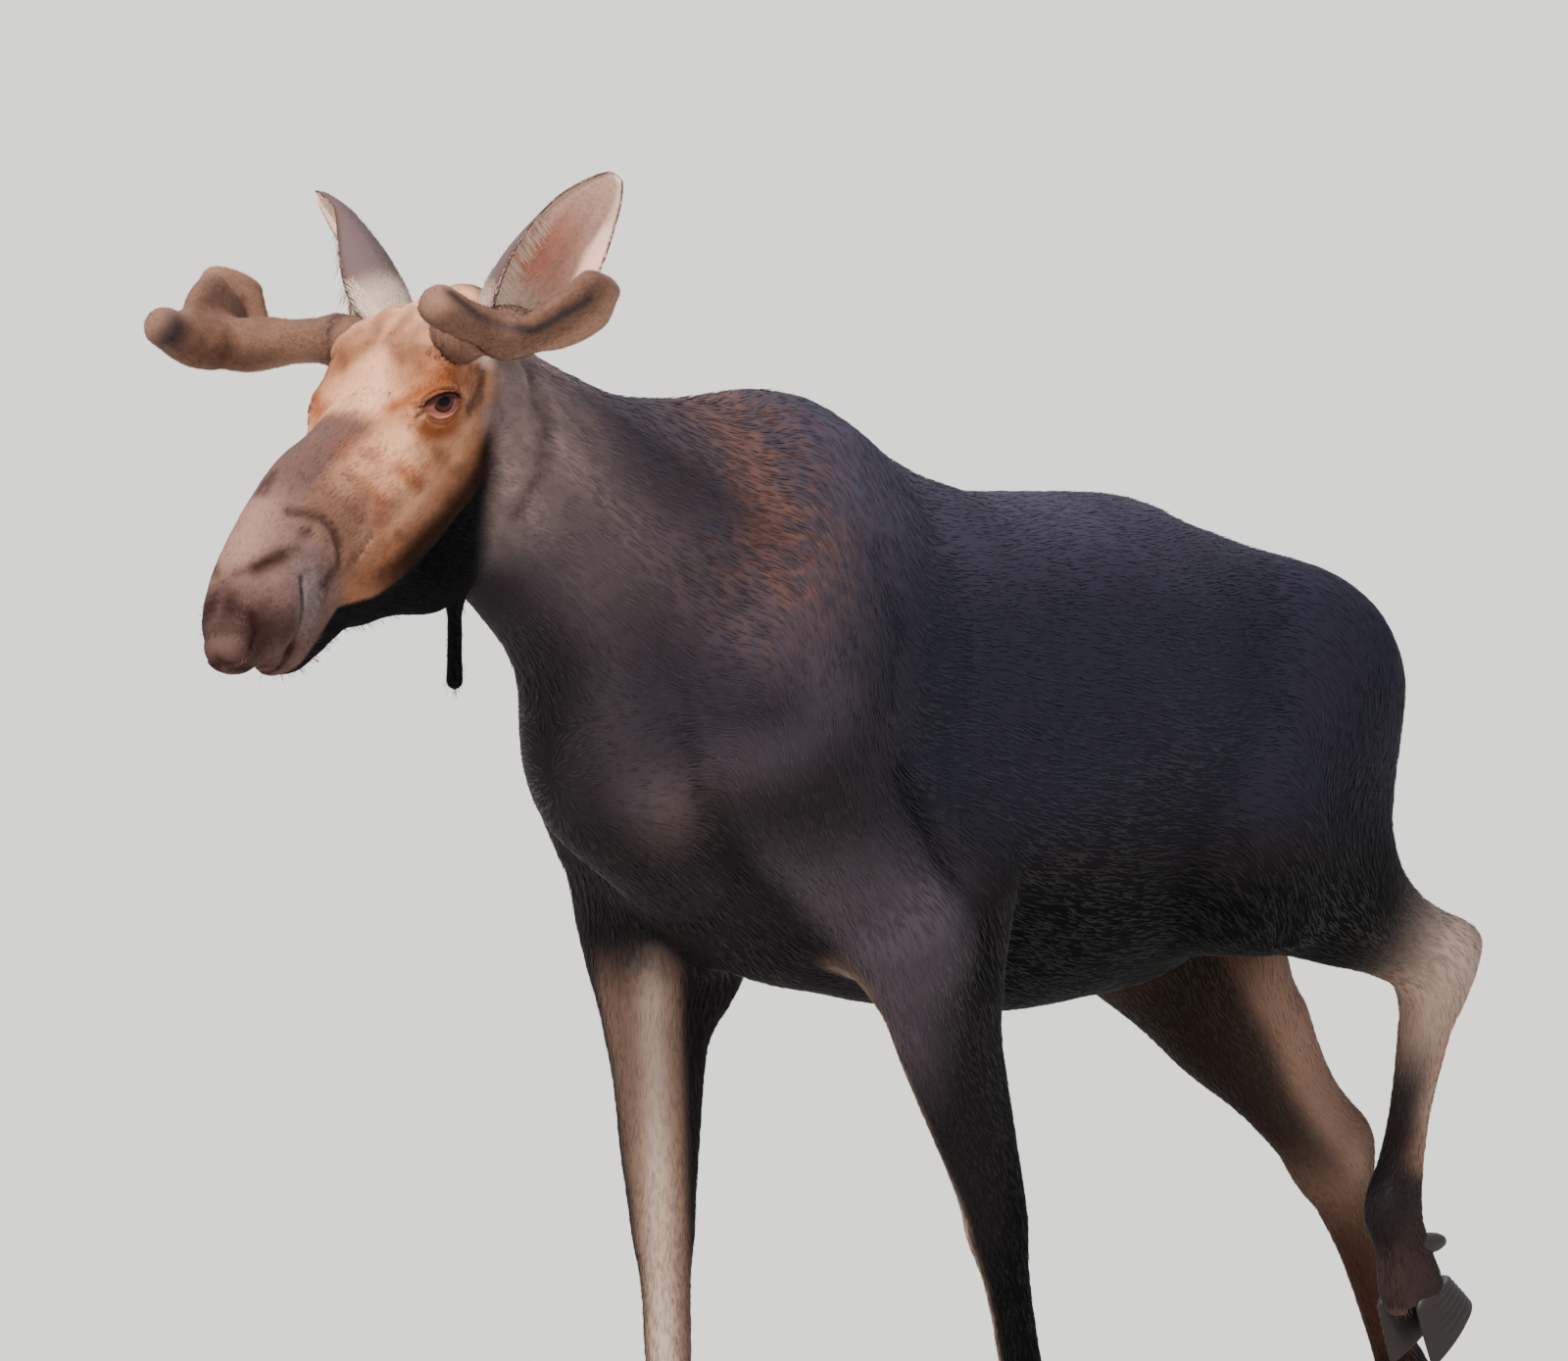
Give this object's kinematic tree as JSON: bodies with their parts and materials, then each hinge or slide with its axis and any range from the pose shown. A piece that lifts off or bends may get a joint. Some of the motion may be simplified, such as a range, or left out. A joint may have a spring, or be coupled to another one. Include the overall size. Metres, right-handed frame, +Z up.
{
  "type": "moose",
  "caption": "Life-size museum model of a young bull moose in velvet, walking, with one hind foot lifted.",
  "frame": {"origin": "on the floor, under the middle of the animal's bounding box", "axes": "-Y the way the animal faces, +X its left side, +Z up"},
  "size_m": [0.77, 2.6638, 2.0159],
  "materials": {
    "coat_black": "short glossy black-brown hair",
    "coat_brown": "short warm brown hair",
    "coat_shank": "short grey-brown hair",
    "velvet": "fuzzy brown velvet skin",
    "ear_hair": "short hair, pale inside",
    "horn": "smooth dark hoof horn",
    "eye": "wet dark brown"
  },
  "bodies": {
    "root": {"antler_left_beam": "velvet", "antler_left_front_palm": "velvet", "antler_left_rear_palm": "velvet", "antler_right_beam": "velvet", "antler_right_front_palm": "velvet", "antler_right_rear_palm": "velvet", "bell": "coat_black", "ear_left": "ear_hair", "ear_right": "ear_hair", "eye_left": "eye", "eye_right": "eye", "foreleg_left_cannon": "coat_shank", "foreleg_left_dewclaw_inner": "horn", "foreleg_left_dewclaw_outer": "horn", "foreleg_left_forearm": "coat_black", "foreleg_left_hoof_inner": "horn", "foreleg_left_hoof_outer": "horn", "foreleg_left_pastern": "coat_shank", "foreleg_right_cannon": "coat_shank", "foreleg_right_dewclaw_inner": "horn", "foreleg_right_dewclaw_outer": "horn", "foreleg_right_forearm": "coat_black", "foreleg_right_hoof_inner": "horn", "foreleg_right_hoof_outer": "horn", "foreleg_right_pastern": "coat_shank", "head": "coat_brown", "hindleg_left_cannon": "coat_shank", "hindleg_left_dewclaw_inner": "horn", "hindleg_left_dewclaw_outer": "horn", "hindleg_left_gaskin": "coat_shank", "hindleg_left_hoof_inner": "horn", "hindleg_left_hoof_outer": "horn", "hindleg_left_pastern": "coat_shank", "hindleg_right_cannon": "coat_shank", "hindleg_right_dewclaw_inner": "horn", "hindleg_right_dewclaw_outer": "horn", "hindleg_right_gaskin": "coat_shank", "hindleg_right_hoof_inner": "horn", "hindleg_right_hoof_outer": "horn", "hindleg_right_pastern": "coat_shank", "neck": "coat_black", "tail": "coat_black", "trunk": "coat_black"}
  },
  "joints": []
}
